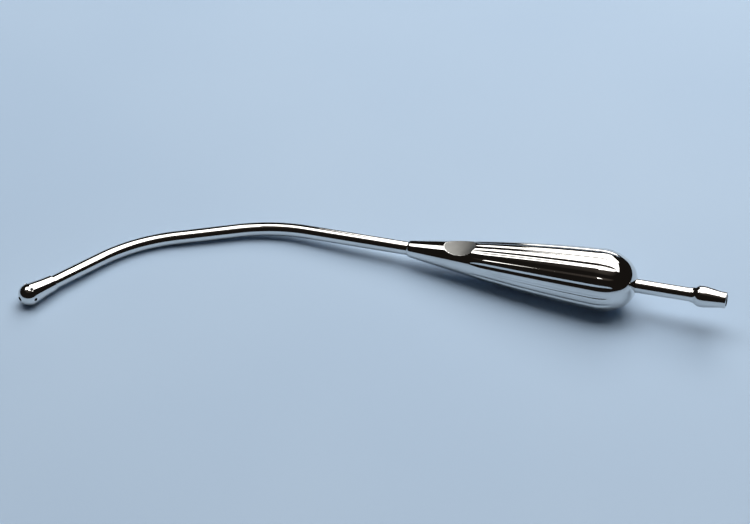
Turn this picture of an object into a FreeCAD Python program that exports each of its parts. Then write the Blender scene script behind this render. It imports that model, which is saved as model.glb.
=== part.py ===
import FreeCAD, Part
import math
import os

# Metal yankauer suction tube, lying on its side as it comes to rest on a table.
# One bent tube runs from the ball tip through a hollow fluted handle to the hose olive.
# Lengths are in millimetres and angles in degrees.

# Tube
tube_diameter = 5.6
tube_wall = 0.8
tip_straight = 34.3            # from the ball's centre to the first bend
first_bend_angle = 32.0
first_bend_radius = 59.5
middle_straight = 25.5
second_bend_angle = 26.9
second_bend_radius = 62.5
shaft_straight = 43.3          # from the second bend to the handle's front edge
outlet_straight = 21.6         # from the handle's rear edge to the olive
solder_gap = 0.05              # round the tube in each of its sockets

# Ball tip with its sleeve
ball_diameter = 9.0
sleeve_diameter = 6.6
sleeve_end = 11.2              # from the ball's centre
sleeve_chamfer = 0.2
flare_angle = 9.0              # slope at which the flare leaves the ball
tube_socket_depth = 6.0
tip_bore_diameter = 3.2
end_hole_diameter = 2.0
end_hole_length = 2.4
drill_point_length = 0.8
side_hole_diameter = 1.3
side_hole_count = 6
side_holes_from_centre = 0.2   # ring of holes at the ball's widest section
side_hole_turn = 32.6          # from the handle's upper side toward the user

# Hollow handle
handle_wall = 0.7
front_diameter = 7.0           # behind the rounded front lip
front_lip_length = 0.9
front_lip_land = 0.1           # flat edge between the lip and the tube's socket
front_seat_length = 9.0
taper_length = 29.0            # straight taper, before the long swell to the belly
taper_end_diameter = 15.1
belly_from_front = 78.4
belly_diameter = 25.0
shoulder_radius = 18.0
shoulder_end_angle = 30.0      # where the shoulder meets the round dome
neck_diameter = 6.5
rear_seat_length = 2.5

# Thumb rest, a hollow across the front of the handle
thumb_rest_from_front = 15.5
thumb_rest_length = 13.1
thumb_rest_radius = 15.5
thumb_rest_turn = 10.5

# Flutes, round grooves that follow the handle's swell
flute_count = 18
flute_depth = 0.42
flute_cutter_radius = 2.2
flutes_full_from_front = 35.0  # where the flutes reach their full depth
flute_run_in_radius = 80.0
flute_clearance = 0.08         # between the cutter and the skin where its path begins
flute_exit_angle = 12.0        # where the cutter leaves the shoulder in a straight line
flute_turn = 7.9

# Hose olive
olive_diameter = 8.6
olive_start_lip = 0.15
olive_rise_length = 4.0
olive_land_length = 1.6
olive_taper_length = 6.2
olive_end_diameter = 6.5
olive_end_length = 2.2
olive_stop_thickness = 1.2
olive_mouth_diameter = 5.0
olive_edge_chamfer = 0.3

# Turn of the handle's axis on the table, which lays the whole length along X
handle_heading = -18.0

tube_radius = tube_diameter / 2
bore_radius = tube_radius - tube_wall
socket_radius = tube_radius + solder_gap
ball_radius = ball_diameter / 2
tube_start = sleeve_end - tube_socket_depth
olive_length = olive_rise_length + olive_land_length + olive_taper_length + olive_end_length
origin = FreeCAD.Vector(0, 0, 0)
x_axis = FreeCAD.Vector(1, 0, 0)
y_axis = FreeCAD.Vector(0, 1, 0)
z_axis = FreeCAD.Vector(0, 0, 1)


def flat_point(along, radius):
    """Point of a turned outline: x along the axis and z outward."""
    return FreeCAD.Vector(along, 0, radius)


def line(start, end):
    return Part.LineSegment(start, end).toShape()


def arc(centre, start, end):
    """Round edge of under half a turn from start to end."""
    middle = (start + end) / 2 - centre
    middle.normalize()
    return Part.Arc(start, centre + middle * (start - centre).Length, end).toShape()


def tangent_centre(start, side, end):
    """Centre of the arc that starts square to a side direction and ends at a point."""
    chord = end - start
    return start + side * (chord.Length ** 2 / (2 * chord.dot(side)))


def turned(edges):
    """Solid turned about the X axis from a closed outline."""
    face = Part.Face(Part.Wire(Part.__sortEdges__(edges)))
    return face.revolve(origin, x_axis, 360)


def cylinder(radius, start, end):
    """Round bar along the X axis between two stations."""
    return Part.makeCylinder(radius, end - start, flat_point(start, 0), x_axis)


def heading_vector(heading):
    angle = math.radians(heading)
    return FreeCAD.Vector(math.cos(angle), math.sin(angle), 0)


class Centreline:
    """Places along the tube's centreline, which lies in the XY plane with the handle along X."""

    def __init__(self):
        self.tip_heading = first_bend_angle + second_bend_angle
        self.first_start = heading_vector(self.tip_heading) * tip_straight
        self.first_centre, self.first_end = self.bend(
            self.first_start, self.tip_heading, first_bend_radius, first_bend_angle)
        self.second_start = self.first_end + heading_vector(second_bend_angle) * middle_straight
        self.second_centre, self.second_end = self.bend(
            self.second_start, second_bend_angle, second_bend_radius, second_bend_angle)
        self.handle_front = self.second_end + x_axis * shaft_straight
        self.olive_front = self.handle_front + x_axis * (handle_length + outlet_straight)

    def bend(self, start, heading, radius, angle):
        """Centre and end of an arc that turns right."""
        centre = start + heading_vector(heading - 90) * radius
        return centre, centre + heading_vector(heading + 90 - angle) * radius

    def wire(self):
        tube_end = self.olive_front + x_axis * (olive_length - olive_stop_thickness)
        first_middle = self.first_centre + heading_vector(
            self.tip_heading + 90 - first_bend_angle / 2) * first_bend_radius
        second_middle = self.second_centre + heading_vector(
            90 + second_bend_angle / 2) * second_bend_radius
        return Part.Wire([
            line(heading_vector(self.tip_heading) * tube_start, self.first_start),
            Part.Arc(self.first_start, first_middle, self.first_end).toShape(),
            line(self.first_end, self.second_start),
            Part.Arc(self.second_start, second_middle, self.second_end).toShape(),
            line(self.second_end, tube_end),
        ])


def swept_bar(path, radius, sides=1):
    """Round bar along a path, with its skin in one or more equal sides."""
    edge = path.Edges[0]
    start = edge.valueAt(edge.FirstParameter)
    along = edge.tangentAt(edge.FirstParameter)
    turn = 360 / sides
    section = Part.Wire([
        Part.makeCircle(radius, start, along, side * turn, (side + 1) * turn)
        for side in range(sides)
    ])
    return path.makePipeShell([section], True, False)


def shaft_tube():
    path = centreline.wire()
    return swept_bar(path, tube_radius).cut(swept_bar(path, bore_radius))


def ball_tip_outline():
    """Outer line of the ball, flare and sleeve, with the ball's centre at the origin."""
    sleeve_radius = sleeve_diameter / 2
    pole = flat_point(-ball_radius, 0)
    ball_top = flat_point(0, ball_radius)
    slope = math.radians(flare_angle)
    outward = flat_point(math.sin(slope), math.cos(slope))
    ball_end = outward * ball_radius
    flare_end = flat_point(sleeve_end - sleeve_chamfer, sleeve_radius)
    chamfer_end = flat_point(sleeve_end, sleeve_radius - sleeve_chamfer)
    return [
        arc(origin, pole, ball_top),
        arc(origin, ball_top, ball_end),
        arc(tangent_centre(ball_end, outward, flare_end), ball_end, flare_end),
        line(flare_end, chamfer_end),
        line(chamfer_end, flat_point(sleeve_end, 0)),
        line(flat_point(sleeve_end, 0), pole),
    ]


def suction_tip():
    """Turned tip: socket for the tube, bore, end hole and ring of side holes."""
    tip = turned(ball_tip_outline())
    tip = tip.cut(cylinder(socket_radius, tube_start, sleeve_end))
    tip_bore_radius = tip_bore_diameter / 2
    bore_end = end_hole_length - ball_radius + drill_point_length
    tip = tip.cut(cylinder(tip_bore_radius, bore_end, tube_start))
    end_hole_radius = end_hole_diameter / 2
    drill_point = Part.makeCone(
        end_hole_radius, tip_bore_radius, drill_point_length,
        flat_point(bore_end - drill_point_length, 0), x_axis)
    tip = tip.cut(drill_point)
    tip = tip.cut(cylinder(end_hole_radius, -ball_radius, bore_end - drill_point_length))
    for number in range(side_hole_count):
        hole = Part.makeCylinder(
            side_hole_diameter / 2, ball_radius, flat_point(side_holes_from_centre, 0), z_axis)
        hole.rotate(origin, x_axis, side_hole_turn + number * 360 / side_hole_count)
        tip = tip.cut(hole)
    tip.rotate(origin, z_axis, centreline.tip_heading)
    return tip


class HandleOutline:
    """Corners and centres of the handle's outer line, with its front edge at the origin."""

    def __init__(self):
        self.front = flat_point(front_lip_length, front_diameter / 2)
        self.taper_end = flat_point(taper_length, taper_end_diameter / 2)
        self.belly = flat_point(belly_from_front, belly_diameter / 2)
        taper = (self.taper_end - self.front).normalize()
        self.taper_outward = FreeCAD.Vector(-taper.z, 0, taper.x)
        self.swell_centre = tangent_centre(self.taper_end, self.taper_outward, self.belly)
        self.swell_radius = (self.belly - self.swell_centre).Length
        self.belly_outward = (self.belly - self.swell_centre).normalize()
        self.shoulder_centre = self.belly - self.belly_outward * shoulder_radius
        self.dome_outward = self.outward_at(shoulder_end_angle)
        self.dome_radius = shoulder_radius + self.shoulder_centre.z / self.dome_outward.z
        self.dome_centre = self.shoulder_centre + self.dome_outward * (
            shoulder_radius - self.dome_radius)
        self.length = self.dome_centre.x + math.sqrt(
            self.dome_radius ** 2 - (neck_diameter / 2) ** 2)

    def outward_at(self, angle):
        """Outward direction on the shoulder, turned back from straight out by an angle."""
        turn = math.radians(angle)
        return FreeCAD.Vector(math.sin(turn), 0, math.cos(turn))

    def lip(self):
        """Rounded front lip, which flows into the taper."""
        start = flat_point(0, socket_radius + front_lip_land)
        return arc(tangent_centre(self.front, self.taper_outward, start), start, self.front)

    def skin(self):
        """Taper, swell, shoulder and dome of the outside."""
        dome_start = self.shoulder_centre + self.dome_outward * shoulder_radius
        dome_end = self.dome_centre + x_axis * self.dome_radius
        return [
            line(self.front, self.taper_end),
            arc(self.swell_centre, self.taper_end, self.belly),
            arc(self.shoulder_centre, self.belly, dome_start),
            arc(self.dome_centre, dome_start, dome_end),
        ]

    def room(self):
        """Hollow inside, with straight tapers and a round rear."""
        swell_middle = self.on_taper_or_swell((taper_length + belly_from_front) / 2)
        corners = [
            self.on_taper_or_swell(front_seat_length) - z_axis * handle_wall,
            self.taper_end - self.taper_outward * handle_wall,
            swell_middle - self.taper_outward * handle_wall,
            self.belly - self.belly_outward * handle_wall,
            self.shoulder_centre + self.dome_outward * (shoulder_radius - handle_wall),
        ]
        inner_radius = self.dome_radius - handle_wall
        rear = self.length - rear_seat_length
        rear_height = math.sqrt(inner_radius ** 2 - (rear - self.dome_centre.x) ** 2)
        rear_corner = flat_point(rear, rear_height)
        walls = [line(start, end) for start, end in zip(corners, corners[1:])]
        front_foot = flat_point(front_seat_length, 0)
        return walls + [
            arc(self.dome_centre, corners[-1], rear_corner),
            line(rear_corner, flat_point(rear, 0)),
            line(flat_point(rear, 0), front_foot),
            line(front_foot, corners[0]),
        ]

    def flute_path(self):
        """Line of the cutter's centre, from its run-in on the swell to its run-out on the shoulder."""
        cut = flute_cutter_radius - flute_depth
        full_outward = (self.on_taper_or_swell(flutes_full_from_front) - self.swell_centre).normalize()
        path_radius = self.swell_radius + cut
        full = self.swell_centre + full_outward * path_radius
        run_in_centre = full + full_outward * flute_run_in_radius
        curving = 1 / flute_run_in_radius + 1 / path_radius
        run_in = math.sqrt(2 * (flute_depth + flute_clearance) / curving)
        run_in_turn = FreeCAD.Rotation(y_axis, math.degrees(run_in / flute_run_in_radius))
        entry = run_in_centre - run_in_turn.multVec(full_outward) * flute_run_in_radius
        belly = self.belly + self.belly_outward * cut
        exit_outward = self.outward_at(flute_exit_angle)
        leave = self.shoulder_centre + exit_outward * (shoulder_radius + cut)
        run_out = 2 * math.sqrt(2 * shoulder_radius * flute_depth)
        leave_way = FreeCAD.Vector(exit_outward.z, 0, -exit_outward.x)
        return Part.Wire([
            arc(run_in_centre, entry, full),
            arc(self.swell_centre, full, belly),
            arc(self.shoulder_centre, belly, leave),
            line(leave, leave + leave_way * run_out),
        ])

    def on_taper_or_swell(self, along):
        """Point of the outer line at a distance from the front, before the belly."""
        if along < taper_length:
            share = (along - self.front.x) / (self.taper_end.x - self.front.x)
            return self.front + (self.taper_end - self.front) * share
        offset = along - self.swell_centre.x
        height = self.swell_centre.z + math.sqrt(self.swell_radius ** 2 - offset ** 2)
        return flat_point(along, height)


outline = HandleOutline()
handle_length = outline.length
centreline = Centreline()


def pear():
    """Solid pear shape of the handle, with its lip and a full dome."""
    lip = outline.lip()
    skin = outline.skin()
    lip_start = lip.Vertexes[0].Point
    apex = skin[-1].Vertexes[-1].Point
    return turned([lip] + skin + [line(apex, origin), line(origin, lip_start)])


def thumb_rest_cutter(growth):
    """Bar across the handle that presses the thumb rest, thicker by a growth."""
    start = outline.on_taper_or_swell(thumb_rest_from_front)
    end = outline.on_taper_or_swell(thumb_rest_from_front + thumb_rest_length)
    chord = end - start
    outward = FreeCAD.Vector(-chord.z, 0, chord.x).normalize()
    lift = math.sqrt(thumb_rest_radius ** 2 - (chord.Length / 2) ** 2)
    side = y_axis * (belly_diameter / 2)
    centre = (start + end) / 2 + outward * lift
    bar = Part.makeCylinder(thumb_rest_radius + growth, belly_diameter, centre - side, y_axis)
    bar.rotate(origin, x_axis, thumb_rest_turn)
    return bar


def flute_cutters():
    """Bars along the path of a round cutter, all round the handle."""
    cutter = swept_bar(outline.flute_path(), flute_cutter_radius, 2).toNurbs()
    cutters = []
    for number in range(flute_count):
        copy = cutter.copy()
        copy.rotate(origin, x_axis, flute_turn + number * 360 / flute_count)
        cutters.append(copy)
    return cutters


def handle_shell():
    """Hollow handle, open only where the tube passes through its two seats."""
    reach = belly_diameter
    rear = cylinder(reach, handle_length, handle_length + reach)
    outside = pear().cut(rear).cut(thumb_rest_cutter(0)).cut(flute_cutters())
    cavity = turned(outline.room()).cut(thumb_rest_cutter(handle_wall))
    shell = outside.cut(cavity).cut(cylinder(socket_radius, 0, handle_length))
    shell.translate(centreline.handle_front)
    return shell


def olive_rise(start, end):
    """Two equal tangent arcs that rise from one level line to another."""
    chord = end - start
    radius = chord.Length ** 2 / (4 * chord.z)
    middle = (start + end) / 2
    return [
        arc(start + z_axis * radius, start, middle),
        arc(end - z_axis * radius, middle, end),
    ]


def hose_olive():
    """Turned olive that grips the hose, with a stop for the tube's end inside."""
    crest = olive_diameter / 2
    end_radius = olive_end_diameter / 2
    start = flat_point(0, socket_radius + olive_start_lip)
    land_start = flat_point(olive_rise_length, crest)
    land_end = land_start + x_axis * olive_land_length
    taper_end = flat_point(land_end.x + olive_taper_length, end_radius)
    chamfer_start = flat_point(olive_length - olive_edge_chamfer, end_radius)
    chamfer_end = flat_point(olive_length, end_radius - olive_edge_chamfer)
    olive = turned(olive_rise(start, land_start) + [
        line(land_start, land_end),
        line(land_end, taper_end),
        line(taper_end, chamfer_start),
        line(chamfer_start, chamfer_end),
        line(chamfer_end, flat_point(olive_length, 0)),
        line(flat_point(olive_length, 0), origin),
        line(origin, start),
    ])
    olive = olive.cut(cylinder(socket_radius, 0, olive_length - olive_stop_thickness))
    olive = olive.cut(cylinder(olive_mouth_diameter / 2, 0, olive_length))
    olive.translate(centreline.olive_front)
    return olive


def bend_rest_point(down):
    """Lowest point of the first bend, whose outer side lies between its two ends."""
    outward = math.degrees(math.atan2(down.y, down.x))
    outward = min(max(outward, second_bend_angle + 90), centreline.tip_heading + 90)
    on_line = centreline.first_centre + heading_vector(outward) * first_bend_radius
    return on_line + down * tube_radius


def belly_rest_point(down):
    """Lowest point of the handle."""
    around = FreeCAD.Vector(0, down.y, down.z)
    tilt = around.Length
    around.normalize()
    skin = Part.Wire(outline.skin()).discretize(1000)
    lowest = max(skin, key=lambda point: point.x * down.x + point.z * tilt)
    return centreline.handle_front + x_axis * lowest.x + around * lowest.z


def resting_placement():
    """Turn that puts the ball, the first bend and the belly on the table together."""
    down = FreeCAD.Vector(0, 0, -1)
    for _ in range(20):
        ball = down * ball_radius
        bend = bend_rest_point(down)
        belly = belly_rest_point(down)
        down = (bend - ball).cross(belly - ball).normalize()
        if down.z > 0:
            down = down * -1
    level = FreeCAD.Rotation(down, FreeCAD.Vector(0, 0, -1))
    axis = level.multVec(x_axis)
    heading = handle_heading - math.degrees(math.atan2(axis.y, axis.x))
    turn = FreeCAD.Rotation(z_axis, heading)
    return FreeCAD.Placement(origin, turn.multiply(level))


def build():
    """All pieces in the resting pose, with the origin below the middle of their box."""
    pieces = {
        "suction_tip": suction_tip(),
        "shaft_tube": shaft_tube(),
        "handle_shell": handle_shell(),
        "hose_olive": hose_olive(),
    }
    placement = resting_placement()
    for shape in pieces.values():
        shape.Placement = placement.multiply(shape.Placement)
    box = Part.makeCompound(list(pieces.values())).optimalBoundingBox(False)
    middle = FreeCAD.Vector(box.Center.x, box.Center.y, box.ZMin)
    for shape in pieces.values():
        shape.translate(middle * -1)
    return pieces


pieces = build()
os.makedirs("parts", exist_ok=True)
for name, shape in pieces.items():
    shape.exportStep("parts/" + name + ".step")
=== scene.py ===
"""Looks of the metal yankauer suction tube: four fine meshes, polished steel, floor and lamps."""

import math

import bmesh
import bpy
from mathutils import Matrix, Vector


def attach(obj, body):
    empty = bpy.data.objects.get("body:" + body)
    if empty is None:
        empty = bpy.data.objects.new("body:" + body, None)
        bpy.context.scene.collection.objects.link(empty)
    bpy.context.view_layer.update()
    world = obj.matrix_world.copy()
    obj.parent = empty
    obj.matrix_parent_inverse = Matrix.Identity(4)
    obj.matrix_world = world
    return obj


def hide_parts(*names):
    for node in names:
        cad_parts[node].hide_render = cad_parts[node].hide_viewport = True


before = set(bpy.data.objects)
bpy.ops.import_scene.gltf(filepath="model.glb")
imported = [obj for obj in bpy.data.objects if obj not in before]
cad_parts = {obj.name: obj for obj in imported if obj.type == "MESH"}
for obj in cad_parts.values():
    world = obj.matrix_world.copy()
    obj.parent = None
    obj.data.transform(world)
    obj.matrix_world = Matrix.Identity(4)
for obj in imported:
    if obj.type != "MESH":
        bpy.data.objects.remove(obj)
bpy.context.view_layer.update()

MM = 0.001

# Sizes of the part in millimetres, as in its construction
TUBE_RADIUS = 2.8
BORE_RADIUS = 2.0
SOCKET_RADIUS = 2.85
TIP_HEADING = 58.9
TIP_STRAIGHT = 34.3
FIRST_BEND = (59.5, 32.0)
MIDDLE_STRAIGHT = 25.5
SECOND_BEND = (62.5, 26.9)
SHAFT_STRAIGHT = 43.3
OUTLET_STRAIGHT = 21.6

BALL_RADIUS = 4.5
FLARE_ANGLE = 9.0
SLEEVE_RADIUS = 3.3
SLEEVE_END = 11.2
SLEEVE_CHAMFER = 0.2
SOCKET_DEPTH = 6.0
TIP_BORE_RADIUS = 1.6
END_HOLE_RADIUS = 1.0
END_HOLE_LENGTH = 2.4
DRILL_POINT = 0.8
SIDE_HOLE_RADIUS = 0.65
SIDE_HOLE_PLACE = 0.2
SIDE_HOLE_TURN = 32.6
SIDE_HOLES = 6
SIDE_HOLE_START = 0.2
SIDE_HOLE_EDGE = 4.38
SIDE_HOLE_TOP = 4.6
SIDE_HOLE_TOP_RADIUS = 0.87

FRONT_RADIUS = 3.5
FRONT_LENGTH = 0.9
FRONT_EDGE = 2.95
TAPER_LENGTH = 29.0
TAPER_END_RADIUS = 7.55
BELLY_PLACE = 78.4
BELLY_RADIUS = 12.5
SHOULDER_RADIUS = 18.0
SHOULDER_END = 30.0
NECK_RADIUS = 3.25
FRONT_MOUTH_RADIUS = 2.9
REAR_MOUTH_RADIUS = 3.05
SEAT_RING_PLACE = 3.0
REST_PLACE = 15.5
REST_LENGTH = 13.1
REST_RADIUS = 15.5
REST_TURN = 10.5
REST_MARGIN = 1.0
REST_BLEND = 0.04
REST_LEAST_COSINE = 0.2
NO_CUT = 99.0
FLUTES = 18
FLUTE_DEPTH = 0.42
FLUTE_CUTTER = 2.2
FLUTE_FULL = 35.0
FLUTE_RUN_IN = 80.0
FLUTE_CLEARANCE = 0.08
FLUTE_EXIT = 12.0
FLUTE_TURN = 7.9
FLUTE_POLISH = 0.65

OLIVE_RADIUS = 4.3
OLIVE_LIP = 0.15
OLIVE_RISE = 4.0
OLIVE_LAND = 1.6
OLIVE_TAPER = 6.2
OLIVE_END_RADIUS = 3.25
OLIVE_LENGTH = 14.0
OLIVE_STOP = 1.2
OLIVE_MOUTH = 2.5
OLIVE_CHAMFER = 0.3

# Steps between the rings of the handle's skin, each up to a distance from its front edge
FRONT_RINGS = 10
HANDLE_STEPS = ((13.0, 0.6), (31.0, 0.16), (76.0, 0.5), (math.inf, 0.2))
LAST_STEP = 0.2

# Camera over the table, in metres and degrees, with its shift in pixels of the 750 wide picture
CAMERA_ELEVATION = 43.0
CAMERA_DISTANCE = 0.79835
CAMERA_AIM = (-0.000556, -0.012426)
CAMERA_SHIFT = (7.18, 40.68)
PICTURE_WIDTH = 750

# Base colours
STEEL_TINT = (0.78, 0.77, 0.75)
# Thumb rest's satin tint, darkened well below the polished steel's as painted shade in its hollow
SATIN_TINT_WITH_PAINTED_SHADE = (0.30, 0.30, 0.29)
FLOOR_BLUE = (0.50, 0.66, 0.86)
FLOOR_DEEPER_BLUE = (0.475, 0.635, 0.84)
ROOM_BROWN = (0.5, 0.42, 0.36)

LAMP_HEIGHT = 1.4

# Resting pose of the tool, whose ball centre is the origin and whose handle lies along X
POSE = (Matrix.Translation((-135.143545, -12.425930, 4.5))
        @ Matrix.Rotation(math.radians(-18.0), 4, "Z")
        @ Matrix.Rotation(math.radians(-3.680437), 4, "Y")
        @ Matrix.Rotation(math.radians(-4.742851), 4, "X"))
TO_METRES = Matrix.Scale(MM, 4)


def heading(angle):
    turn = math.radians(angle)
    return Vector((math.cos(turn), math.sin(turn), 0))


def tangent_centre(start, side, end):
    """Centre of the arc that starts square to a side direction and ends at a point."""
    chord = end - start
    return start + side * (chord.length_squared / (2 * chord.dot(side)))


class Path:
    """The tube's centreline as straight runs and arcs in the tool's XY plane."""

    def __init__(self, handle_length):
        self.points = []
        self.ways = []
        radius_1, angle_1 = FIRST_BEND
        radius_2, angle_2 = SECOND_BEND
        start = heading(TIP_HEADING) * (SLEEVE_END - SOCKET_DEPTH)
        place = self.run(start, TIP_HEADING, TIP_STRAIGHT - (SLEEVE_END - SOCKET_DEPTH), 24)
        place = self.bend(place, TIP_HEADING, radius_1, angle_1, 40)
        place = self.run(place, TIP_HEADING - angle_1, MIDDLE_STRAIGHT, 20)
        place = self.bend(place, TIP_HEADING - angle_1, radius_2, angle_2, 36)
        self.handle_front = place + heading(0) * SHAFT_STRAIGHT
        self.olive_front = self.handle_front + heading(0) * (handle_length + OUTLET_STRAIGHT)
        tube_end = self.olive_front + heading(0) * (OLIVE_LENGTH - OLIVE_STOP)
        self.run(place, 0, (tube_end - place).length, 120)
        self.points.append(tube_end)
        self.ways.append(heading(0))

    def run(self, start, angle, length, steps):
        way = heading(angle)
        for step in range(steps):
            self.points.append(start + way * (length * step / steps))
            self.ways.append(way)
        return start + way * length

    def bend(self, start, angle, radius, turn, steps):
        centre = start + heading(angle - 90) * radius
        for step in range(steps):
            now = angle - turn * step / steps
            self.points.append(centre + heading(now + 90) * radius)
            self.ways.append(heading(now))
        return centre + heading(angle - turn + 90) * radius


class HandleProfile:
    """Skin of the handle by its distance from the front edge, with the flutes and the thumb rest."""

    def __init__(self):
        front = Vector((FRONT_LENGTH, FRONT_RADIUS))
        taper_end = Vector((TAPER_LENGTH, TAPER_END_RADIUS))
        belly = Vector((BELLY_PLACE, BELLY_RADIUS))
        taper = (taper_end - front).normalized()
        outward = Vector((-taper.y, taper.x))
        self.lip_centre = tangent_centre(front, outward, Vector((0, FRONT_EDGE)))
        self.lip_radius = (front - self.lip_centre).length
        self.swell_centre = tangent_centre(taper_end, outward, belly)
        self.swell_radius = (belly - self.swell_centre).length
        self.belly_outward = (belly - self.swell_centre).normalized()
        self.shoulder_centre = belly - self.belly_outward * SHOULDER_RADIUS
        turn = math.radians(SHOULDER_END)
        dome_outward = Vector((math.sin(turn), math.cos(turn)))
        self.dome_start = (self.shoulder_centre + dome_outward * SHOULDER_RADIUS).x
        self.dome_radius = SHOULDER_RADIUS + self.shoulder_centre.y / dome_outward.y
        self.dome_centre = (self.shoulder_centre
                            + dome_outward * (SHOULDER_RADIUS - self.dome_radius)).x
        self.length = self.dome_centre + math.sqrt(self.dome_radius ** 2 - NECK_RADIUS ** 2)
        self.front = front
        self.taper_end = taper_end
        self.belly = belly
        self.set_flute_path()
        self.set_thumb_rest()

    def skin(self, along):
        if along < FRONT_LENGTH:
            offset = along - self.lip_centre.x
            return self.lip_centre.y + math.sqrt(self.lip_radius ** 2 - offset ** 2)
        if along < TAPER_LENGTH:
            share = (along - self.front.x) / (self.taper_end.x - self.front.x)
            return self.front.y + (self.taper_end.y - self.front.y) * share
        if along < BELLY_PLACE:
            offset = along - self.swell_centre.x
            return self.swell_centre.y + math.sqrt(self.swell_radius ** 2 - offset ** 2)
        if along < self.dome_start:
            offset = along - self.shoulder_centre.x
            return self.shoulder_centre.y + math.sqrt(SHOULDER_RADIUS ** 2 - offset ** 2)
        return math.sqrt(max(self.dome_radius ** 2 - (along - self.dome_centre) ** 2, 0))

    def set_flute_path(self):
        cut = FLUTE_CUTTER - FLUTE_DEPTH
        self.path_radius = self.swell_radius + cut
        full_skin = Vector((FLUTE_FULL, self.skin(FLUTE_FULL)))
        outward = (full_skin - self.swell_centre).normalized()
        self.full = self.swell_centre + outward * self.path_radius
        self.run_in_centre = self.full + outward * FLUTE_RUN_IN
        curving = 1 / FLUTE_RUN_IN + 1 / self.path_radius
        turn = math.sqrt(2 * (FLUTE_DEPTH + FLUTE_CLEARANCE) / curving) / FLUTE_RUN_IN
        inward = Vector((outward.x * math.cos(turn) + outward.y * math.sin(turn),
                         outward.y * math.cos(turn) - outward.x * math.sin(turn)))
        self.flute_start = (self.run_in_centre - inward * FLUTE_RUN_IN).x
        self.path_belly = self.belly + self.belly_outward * cut
        turn = math.radians(FLUTE_EXIT)
        self.exit_outward = Vector((math.sin(turn), math.cos(turn)))
        self.leave = self.shoulder_centre + self.exit_outward * (SHOULDER_RADIUS + cut)

    def cutter_height(self, along):
        """Distance from the handle's axis to the middle of the flute cutter."""
        if along < self.full.x:
            offset = along - self.run_in_centre.x
            return self.run_in_centre.y - math.sqrt(FLUTE_RUN_IN ** 2 - offset ** 2)
        if along < self.path_belly.x:
            offset = along - self.swell_centre.x
            return self.swell_centre.y + math.sqrt(self.path_radius ** 2 - offset ** 2)
        if along < self.leave.x:
            offset = along - self.shoulder_centre.x
            radius = SHOULDER_RADIUS + FLUTE_CUTTER - FLUTE_DEPTH
            return self.shoulder_centre.y + math.sqrt(radius ** 2 - offset ** 2)
        slope = self.exit_outward.x / self.exit_outward.y
        return self.leave.y - (along - self.leave.x) * slope

    def flute_half_angle(self, along):
        """Half of the angle that a flute takes at this station, or 0 where there is none."""
        if along < self.flute_start:
            return 0.0
        skin = self.skin(along)
        height = self.cutter_height(along)
        if skin < 1 or height - FLUTE_CUTTER >= skin:
            return 0.0
        share = (height ** 2 + skin ** 2 - FLUTE_CUTTER ** 2) / (2 * height * skin)
        return math.acos(min(share, 1.0))

    def flute_floor(self, along, angle):
        """Radius of the polished flute at an angle from its middle, with softened flanks."""
        skin = self.skin(along)
        share = angle / self.flute_half_angle(along)
        if share >= 1:
            return skin
        depth = (skin - self.cutter_height(along) + FLUTE_CUTTER) * FLUTE_POLISH
        return skin - depth * (1 + math.cos(math.pi * share)) / 2

    def set_thumb_rest(self):
        start = Vector((REST_PLACE, self.skin(REST_PLACE)))
        end = Vector((REST_PLACE + REST_LENGTH, self.skin(REST_PLACE + REST_LENGTH)))
        chord = end - start
        outward = Vector((-chord.y, chord.x)).normalized()
        lift = math.sqrt(REST_RADIUS ** 2 - chord.length_squared / 4)
        self.rest_centre = (start + end) / 2 + outward * lift

    def rest_floor(self, along, angle):
        """Radius of the thumb rest's floor at an angle from its middle."""
        offset = along - self.rest_centre.x
        if abs(offset) >= REST_RADIUS or math.cos(angle) < REST_LEAST_COSINE:
            return NO_CUT
        return (self.rest_centre.y - math.sqrt(REST_RADIUS ** 2 - offset ** 2)) / math.cos(angle)


def soft_min(first, second, blend):
    """Smaller of two values, with a rounded change from one to the other."""
    mix = max(blend - abs(first - second), 0) / blend
    return min(first, second) - mix * mix * blend / 4


def mesh_piece(name, points, faces, placement):
    """Object from points in tool millimetres, put at the tool's resting place in metres."""
    mesh = bpy.data.meshes.new(name)
    mesh.from_pydata([tuple(p) for p in points], [], faces)
    mesh.transform(TO_METRES @ POSE @ placement)
    work = bmesh.new()
    work.from_mesh(mesh)
    bmesh.ops.recalc_face_normals(work, faces=work.faces)
    work.to_mesh(mesh)
    work.free()
    obj = bpy.data.objects.new(name, mesh)
    bpy.context.scene.collection.objects.link(obj)
    return obj


def smooth_between_edges(obj, limit=30.0):
    """Smooth shading, with hard edges only where faces meet at a clear angle."""
    work = bmesh.new()
    work.from_mesh(obj.data)
    for face in work.faces:
        face.smooth = True
    for edge in work.edges:
        edge.smooth = len(edge.link_faces) == 2 and edge.calc_face_angle() < math.radians(limit)
    work.to_mesh(obj.data)
    work.free()


def ring_faces(rows, columns, close):
    """Quads between rows of points that go once round, with the last row joined to the first if closed."""
    faces = []
    for row in range(rows if close else rows - 1):
        below = row * columns
        above = (row + 1) % rows * columns
        for column in range(columns):
            after = (column + 1) % columns
            faces.append((below + column, below + after, above + after, above + column))
    return faces


def lathe(name, profile, columns, placement):
    """Turned piece about the X axis from a closed profile of (along, radius) points."""
    points = []
    for along, radius in profile:
        for column in range(columns):
            angle = 2 * math.pi * column / columns
            points.append((along, radius * math.sin(angle), radius * math.cos(angle)))
    faces = ring_faces(len(profile), columns, True)
    return mesh_piece(name, points, faces, placement)


def arc_points(centre, radius, start, end, steps):
    """Points of an arc between two angles in degrees, measured from the X axis."""
    result = []
    for step in range(steps + 1):
        angle = math.radians(start + (end - start) * step / steps)
        result.append((centre[0] + radius * math.cos(angle), centre[1] + radius * math.sin(angle)))
    return result


def line_points(start, end, steps):
    """Points of a line after its start, up to its end."""
    result = []
    for step in range(1, steps + 1):
        share = step / steps
        result.append((start[0] + (end[0] - start[0]) * share,
                       start[1] + (end[1] - start[1]) * share))
    return result


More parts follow.
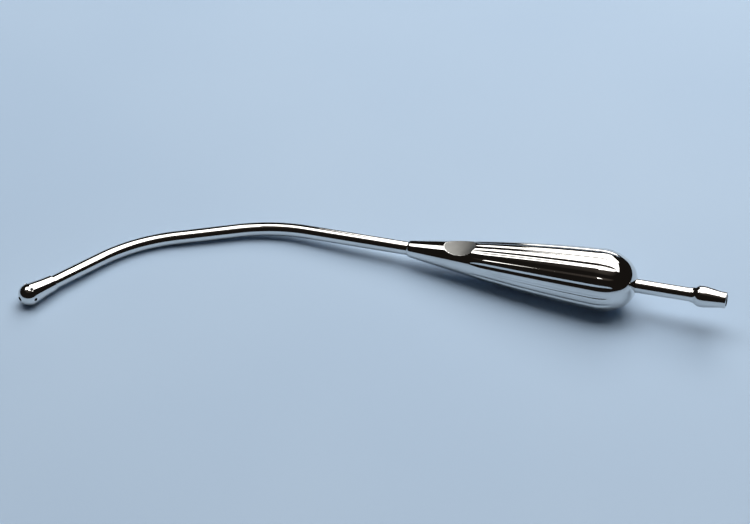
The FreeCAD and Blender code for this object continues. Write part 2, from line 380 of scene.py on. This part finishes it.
def make_tube():
    """The one bent tube, hollow from end to end."""
    columns = 72
    points = []
    for radius in (TUBE_RADIUS, BORE_RADIUS):
        order = range(len(path.points))
        if radius == BORE_RADIUS:
            order = reversed(order)
        for index in order:
            side = Vector((-path.ways[index].y, path.ways[index].x, 0))
            for column in range(columns):
                angle = 2 * math.pi * column / columns
                offset = side * math.sin(angle) + Vector((0, 0, math.cos(angle)))
                points.append(path.points[index] + offset * radius)
    faces = ring_faces(2 * len(path.points), columns, True)
    return mesh_piece("polished_tube", points, faces, Matrix.Identity(4))


def tip_profile():
    """Closed outline of the tip, from its end hole over the ball and back along its bore."""
    hole_edge = 180 - math.degrees(math.asin(END_HOLE_RADIUS / BALL_RADIUS))
    profile = arc_points((0, 0), BALL_RADIUS, hole_edge, 90 - FLARE_ANGLE, 64)
    ball_end = Vector(profile[-1])
    outward = heading(90 - FLARE_ANGLE).to_2d()
    flare_end = Vector((SLEEVE_END - SLEEVE_CHAMFER, SLEEVE_RADIUS))
    centre = tangent_centre(ball_end, outward, flare_end)
    radius = (centre - flare_end).length
    turn = 2 * math.degrees(math.asin((flare_end - ball_end).length / 2 / radius))
    start = 270 - FLARE_ANGLE
    profile += arc_points(centre, radius, start, start + turn, 30)[1:]
    bore_end = END_HOLE_LENGTH - BALL_RADIUS + DRILL_POINT
    socket_end = SLEEVE_END - SOCKET_DEPTH
    chamfer = SLEEVE_CHAMFER
    corners = [
        ((SLEEVE_END, SLEEVE_RADIUS - chamfer), 2),
        ((SLEEVE_END, SOCKET_RADIUS), 2),
        ((socket_end, SOCKET_RADIUS), 12),
        ((socket_end, TIP_BORE_RADIUS), 3),
        ((bore_end, TIP_BORE_RADIUS), 14),
        ((bore_end - DRILL_POINT, END_HOLE_RADIUS), 3),
        (profile[0], 8),
    ]
    for corner, steps in corners:
        profile += line_points(profile[-1], corner, steps)
    return profile[:-1]


def make_tip():
    """Ball tip with its sleeve, end hole and ring of side holes with broken edges."""
    placement = Matrix.Rotation(math.radians(TIP_HEADING), 4, "Z")
    tip = lathe("ball_tip", tip_profile(), 128, placement)
    drill = [
        (SIDE_HOLE_START, 0.0),
        (SIDE_HOLE_START, SIDE_HOLE_RADIUS),
        (SIDE_HOLE_EDGE, SIDE_HOLE_RADIUS),
        (SIDE_HOLE_TOP, SIDE_HOLE_TOP_RADIUS),
        (SIDE_HOLE_TOP, 0.0),
    ]
    for number in range(SIDE_HOLES):
        turn = Matrix.Rotation(math.radians(SIDE_HOLE_TURN + number * 360 / SIDE_HOLES), 4, "X")
        upright = Matrix.Rotation(math.radians(-90), 4, "Y")
        place = placement @ turn @ Matrix.Translation((SIDE_HOLE_PLACE, 0, 0)) @ upright
        cut_round(tip, drill, 32, place)
    return tip


def cut_round(target, profile, columns, placement):
    """Cuts a turned tool, closed by a disc at each end, out of a piece."""
    points = [(profile[0][0], 0, 0)]
    for along, radius in profile[1:-1]:
        for column in range(columns):
            angle = 2 * math.pi * column / columns
            points.append((along, radius * math.sin(angle), radius * math.cos(angle)))
    points.append((profile[-1][0], 0, 0))
    rows = len(profile) - 2
    faces = []
    for a, b, c, d in ring_faces(rows, columns, False):
        faces.append((a + 1, b + 1, c + 1, d + 1))
    last = len(points) - 1
    top = 1 + (rows - 1) * columns
    for column in range(columns):
        after = (column + 1) % columns
        faces.append((0, 1 + after, 1 + column))
        faces.append((last, top + column, top + after))
    tool = mesh_piece("cutting_tool", points, faces, placement)
    cut = target.modifiers.new("cut", "BOOLEAN")
    cut.operation = "DIFFERENCE"
    cut.solver = "EXACT"
    cut.object = tool
    keep_modifiers(target)
    mesh = tool.data
    bpy.data.objects.remove(tool)
    bpy.data.meshes.remove(mesh)


def keep_modifiers(obj):
    """Writes the result of an object's modifiers into its own mesh."""
    graph = bpy.context.evaluated_depsgraph_get()
    mesh = bpy.data.meshes.new_from_object(obj.evaluated_get(graph))
    old = obj.data
    obj.modifiers.clear()
    obj.data = mesh
    bpy.data.meshes.remove(old)


def handle_stations():
    """Distances from the front edge at which the handle's skin has a ring of points."""
    stations = [FRONT_LENGTH * (ring / FRONT_RINGS) ** 2 for ring in range(FRONT_RINGS + 1)]
    place = FRONT_LENGTH
    while place < handle_profile.length - LAST_STEP:
        place += next(step for end, step in HANDLE_STEPS if place < end)
        stations.append(min(place, handle_profile.length))
    if stations[-1] < handle_profile.length:
        stations.append(handle_profile.length)
    return stations


def flute_columns(along):
    """Angles from a flute's middle to the next flute's middle, closer together inside the flutes."""
    pitch = 2 * math.pi / FLUTES
    half = max(handle_profile.flute_half_angle(along), 0.10 * pitch)
    inside = (0.0, 0.17, 0.34, 0.5, 0.66, 0.83)
    land = pitch - 2 * half
    angles = [share * half for share in inside]
    angles += [half + land * share for share in (0.0, 0.25, 0.5, 0.75)]
    angles += [pitch - share * half for share in (1.0, 0.83, 0.66, 0.5, 0.34, 0.17)]
    return angles


def handle_radius(along, angle, from_flute):
    """Radius of the handle's skin, cut by the thumb rest and the flutes."""
    radius = handle_profile.skin(along)
    if handle_profile.flute_half_angle(along) > 0:
        radius = handle_profile.flute_floor(along, from_flute)
    if REST_PLACE - REST_MARGIN < along < REST_PLACE + REST_LENGTH + REST_MARGIN:
        from_rest = (angle - math.radians(REST_TURN) + math.pi) % (2 * math.pi) - math.pi
        radius = soft_min(radius, handle_profile.rest_floor(along, from_rest), REST_BLEND)
    return radius


def make_handle():
    """Fluted pear-shaped handle with its thumb rest, and a straight passage for the tube."""
    points = []
    pitch = 2 * math.pi / FLUTES
    start = math.radians(FLUTE_TURN)
    stations = handle_stations()
    for along in stations:
        offsets = flute_columns(along)
        for number in range(FLUTES):
            for offset in offsets:
                angle = start + number * pitch + offset
                from_flute = min(offset, pitch - offset)
                radius = handle_radius(along, angle, from_flute)
                points.append((along, -radius * math.sin(angle), radius * math.cos(angle)))
    columns = FLUTES * len(flute_columns(60.0))
    rear = handle_profile.length
    passage = [rear, rear, rear - SEAT_RING_PLACE, SEAT_RING_PLACE, 0, 0]
    radii = [REAR_MOUTH_RADIUS] + [SOCKET_RADIUS] * 4 + [FRONT_MOUTH_RADIUS]
    last = points[-columns:]
    for along, radius in zip(passage, radii):
        for point in last:
            reach = math.hypot(point[1], point[2])
            points.append((along, point[1] * radius / reach, point[2] * radius / reach))
    faces = ring_faces(len(stations) + len(passage), columns, True)
    return mesh_piece("fluted_handle", points, faces, Matrix.Translation(path.handle_front))


def paint_thumb_rest(handle, material):
    """Gives the softly buffed thumb rest a finish of its own: rougher satin steel whose tint is darkened
    as painted shade in the hollow.
    """
    handle.data.materials.append(material)
    back = (TO_METRES @ POSE @ Matrix.Translation(path.handle_front)).inverted()
    for polygon in handle.data.polygons:
        place = back @ polygon.center
        if REST_PLACE < place.x < REST_PLACE + REST_LENGTH:
            angle = math.atan2(-place.y, place.z) - math.radians(REST_TURN)
            floor = handle_profile.rest_floor(place.x, angle)
            if floor < handle_profile.skin(place.x) - 0.02 and place.yz.length > floor - 0.1:
                polygon.material_index = 1


def olive_profile():
    """Closed outline of the olive, from its front lip over the crest and back along its socket."""
    lip = SOCKET_RADIUS + OLIVE_LIP
    start = Vector((0, lip))
    crest = Vector((OLIVE_RISE, OLIVE_RADIUS))
    chord = crest - start
    radius = chord.length_squared / (4 * chord.y)
    turn = math.degrees(math.asin(OLIVE_RISE / 2 / radius))
    profile = arc_points((0, lip + radius), radius, 270, 270 + turn, 16)
    profile += arc_points((OLIVE_RISE, OLIVE_RADIUS - radius), radius, 90 + turn, 90, 16)[1:]
    land_end = (OLIVE_RISE + OLIVE_LAND, OLIVE_RADIUS)
    taper_end = (land_end[0] + OLIVE_TAPER, OLIVE_END_RADIUS)
    profile += line_points(crest, land_end, 6)
    profile += line_points(land_end, taper_end, 16)
    edge = OLIVE_LENGTH - OLIVE_CHAMFER
    corners = [
        ((edge, OLIVE_END_RADIUS), 6),
        ((edge + 0.12, OLIVE_END_RADIUS - 0.05), 1),
        ((OLIVE_LENGTH - 0.05, OLIVE_END_RADIUS - 0.18), 1),
        ((OLIVE_LENGTH, OLIVE_END_RADIUS - OLIVE_CHAMFER), 1),
        ((OLIVE_LENGTH, OLIVE_MOUTH + 0.08), 3),
        ((OLIVE_LENGTH - 0.08, OLIVE_MOUTH), 1),
        ((OLIVE_LENGTH - OLIVE_STOP, OLIVE_MOUTH), 5),
        ((OLIVE_LENGTH - OLIVE_STOP, SOCKET_RADIUS), 2),
        ((0, SOCKET_RADIUS), 20),
        (profile[0], 1),
    ]
    for corner, steps in corners:
        profile += line_points(profile[-1], corner, steps)
    return profile[:-1]


def make_olive():
    """Turned olive on the end of the outlet."""
    return lathe("hose_olive_turned", olive_profile(), 128, Matrix.Translation(path.olive_front))


def shader_nodes(name):
    """New material with its node tree and its principled shader."""
    material = bpy.data.materials.new(name)
    material.use_nodes = True
    tree = material.node_tree
    return material, tree, tree.nodes["Principled BSDF"]


def noise(tree, place, scale, detail, stretch=(1, 1, 1)):
    """Noise over the object's own place, drawn out along an axis where stretch is small."""
    spread = tree.nodes.new("ShaderNodeMapping")
    spread.inputs["Scale"].default_value = stretch
    tree.links.new(place, spread.inputs["Vector"])
    pattern = tree.nodes.new("ShaderNodeTexNoise")
    pattern.inputs["Scale"].default_value = scale
    pattern.inputs["Detail"].default_value = detail
    tree.links.new(spread.outputs["Vector"], pattern.inputs["Vector"])
    return pattern.outputs["Fac"]


def value_range(tree, value, low, high, to_low, to_high):
    """Value moved from one range to another, held inside the new one."""
    node = tree.nodes.new("ShaderNodeMapRange")
    node.inputs["From Min"].default_value = low
    node.inputs["From Max"].default_value = high
    node.inputs["To Min"].default_value = to_low
    node.inputs["To Max"].default_value = to_high
    tree.links.new(value, node.inputs["Value"])
    return node.outputs["Result"]


def bump(tree, height, strength, distance, under=None):
    """Relief from a height, laid over another relief where there is one."""
    node = tree.nodes.new("ShaderNodeBump")
    node.inputs["Strength"].default_value = strength
    node.inputs["Distance"].default_value = distance
    tree.links.new(height, node.inputs["Height"])
    if under is not None:
        tree.links.new(under, node.inputs["Normal"])
    return node.outputs["Normal"]


def polished_steel(name, tint, roughness, wave):
    """Mirror-polished steel: faint polishing lines, hairline scratches and dulled patches."""
    material, tree, shader = shader_nodes(name)
    place = tree.nodes.new("ShaderNodeTexCoord").outputs["Object"]
    shader.inputs["Metallic"].default_value = 1.0
    patches = noise(tree, place, 60.0, 3.0)
    lines = noise(tree, place, 900.0, 4.0, (0.08, 1.0, 1.0))
    colour = tree.nodes.new("ShaderNodeMix")
    colour.data_type = "RGBA"
    colour.inputs["A"].default_value = (*tint, 1)
    colour.inputs["B"].default_value = (*(c * 0.9 for c in tint), 1)
    tree.links.new(value_range(tree, patches, 0.4, 0.7, 0.0, 1.0), colour.inputs["Factor"])
    tree.links.new(colour.outputs["Result"], shader.inputs["Base Color"])
    tree.links.new(value_range(tree, patches, 0.35, 0.7, roughness, roughness * 1.8),
                   shader.inputs["Roughness"])
    waves = bump(tree, noise(tree, place, 120.0, 2.0), wave, 0.0001)
    tree.links.new(bump(tree, lines, 0.06, 0.00002, waves), shader.inputs["Normal"])
    return material


def floor_material():
    """Pale blue card with a faint tooth and slow changes of tone."""
    material, tree, shader = shader_nodes("pale_floor")
    place = tree.nodes.new("ShaderNodeTexCoord").outputs["Object"]
    colour = tree.nodes.new("ShaderNodeMix")
    colour.data_type = "RGBA"
    colour.inputs["A"].default_value = (*FLOOR_BLUE, 1)
    colour.inputs["B"].default_value = (*FLOOR_DEEPER_BLUE, 1)
    tree.links.new(value_range(tree, noise(tree, place, 6.0, 2.0), 0.35, 0.65, 0.0, 1.0),
                   colour.inputs["Factor"])
    tree.links.new(colour.outputs["Result"], shader.inputs["Base Color"])
    shader.inputs["Roughness"].default_value = 0.6
    tree.links.new(bump(tree, noise(tree, place, 1500.0, 2.0), 0.12, 0.0002),
                   shader.inputs["Normal"])
    return material


def make_floor():
    """Flat round table sheet with a thin rolled edge."""
    profile = [(0.0, 0.0), (0.3, 0.0), (0.7, 0.0), (1.2, 0.0), (2.0, 0.0), (3.0, 0.0),
               (3.004, -0.002), (3.004, -0.006)]
    columns = 96
    points = [(0, 0, 0)]
    for radius, height in profile[1:]:
        for column in range(columns):
            angle = 2 * math.pi * column / columns
            points.append((radius * math.cos(angle), radius * math.sin(angle), height))
    faces = [(0, 1 + column, 1 + (column + 1) % columns) for column in range(columns)]
    for row in range(len(profile) - 2):
        for column in range(columns):
            after = (column + 1) % columns
            below = 1 + row * columns
            above = below + columns
            faces.append((below + column, above + column, above + after, below + after))
    mesh = bpy.data.meshes.new("table_sheet")
    mesh.from_pydata(points, [], faces)
    floor = bpy.data.objects.new("table_sheet", mesh)
    bpy.context.scene.collection.objects.link(floor)
    floor.data.materials.append(floor_material())


def make_soft_box(name, width, depth, energy, place):
    """Level soft box over the table, a little behind the tool."""
    lamp = bpy.data.lights.new(name, "AREA")
    lamp.shape = "RECTANGLE"
    lamp.size = width
    lamp.size_y = depth
    lamp.energy = energy
    lamp.color = (1.0, 0.985, 0.96)
    box = bpy.data.objects.new(name, lamp)
    box.location = (*place, LAMP_HEIGHT)
    box.visible_camera = False
    bpy.context.scene.collection.objects.link(box)


def make_room():
    """Dim warm room around the table, a little lighter straight overhead."""
    world = bpy.data.worlds.new("room")
    bpy.context.scene.world = world
    world.use_nodes = True
    tree = world.node_tree
    back = tree.nodes["Background"]
    back.inputs["Color"].default_value = (*ROOM_BROWN, 1)
    way = tree.nodes.new("ShaderNodeSeparateXYZ")
    tree.links.new(tree.nodes.new("ShaderNodeTexCoord").outputs["Generated"], way.inputs["Vector"])
    tree.links.new(value_range(tree, way.outputs["Z"], 0.8, 1.0, 0.02, 0.13),
                   back.inputs["Strength"])


def make_camera():
    """Long lens that looks down on the table at the photograph's angle."""
    camera = bpy.data.cameras.new("view")
    camera.lens = 96.0
    camera.sensor_width = 36.0
    camera.clip_start = 0.05
    camera.shift_x = CAMERA_SHIFT[0] / PICTURE_WIDTH
    camera.shift_y = CAMERA_SHIFT[1] / PICTURE_WIDTH
    obj = bpy.data.objects.new("view", camera)
    elevation = math.radians(CAMERA_ELEVATION)
    obj.location = (CAMERA_AIM[0], CAMERA_AIM[1] - CAMERA_DISTANCE * math.cos(elevation),
                    CAMERA_DISTANCE * math.sin(elevation))
    obj.rotation_euler = (math.radians(90) - elevation, 0, 0)
    bpy.context.scene.collection.objects.link(obj)
    bpy.context.scene.camera = obj


handle_profile = HandleProfile()
path = Path(handle_profile.length)
pieces = {
    "shaft_tube": make_tube(),
    "suction_tip": make_tip(),
    "handle_shell": make_handle(),
    "hose_olive": make_olive(),
}
steel = polished_steel("polished_steel", STEEL_TINT, 0.025, 0.02)
# Thumb rest finish: real buffed roughness, with a darkened tint that is painted shade
satin_with_painted_shade = polished_steel("satin_steel_with_painted_shade", SATIN_TINT_WITH_PAINTED_SHADE, 0.36, 0.02)
for node, piece in pieces.items():
    smooth_between_edges(piece)
    piece.data.materials.append(steel)
    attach(piece, "root")
    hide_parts(node)
paint_thumb_rest(pieces["handle_shell"], satin_with_painted_shade)

make_floor()
make_soft_box("long_soft_box", 1.34, 3.0, 36.8, (0.47, 1.3))
make_soft_box("side_soft_box", 0.78, 0.9, 6.4, (-0.59, 0.50))
make_room()
make_camera()
bpy.context.scene.view_settings.view_transform = "Standard"
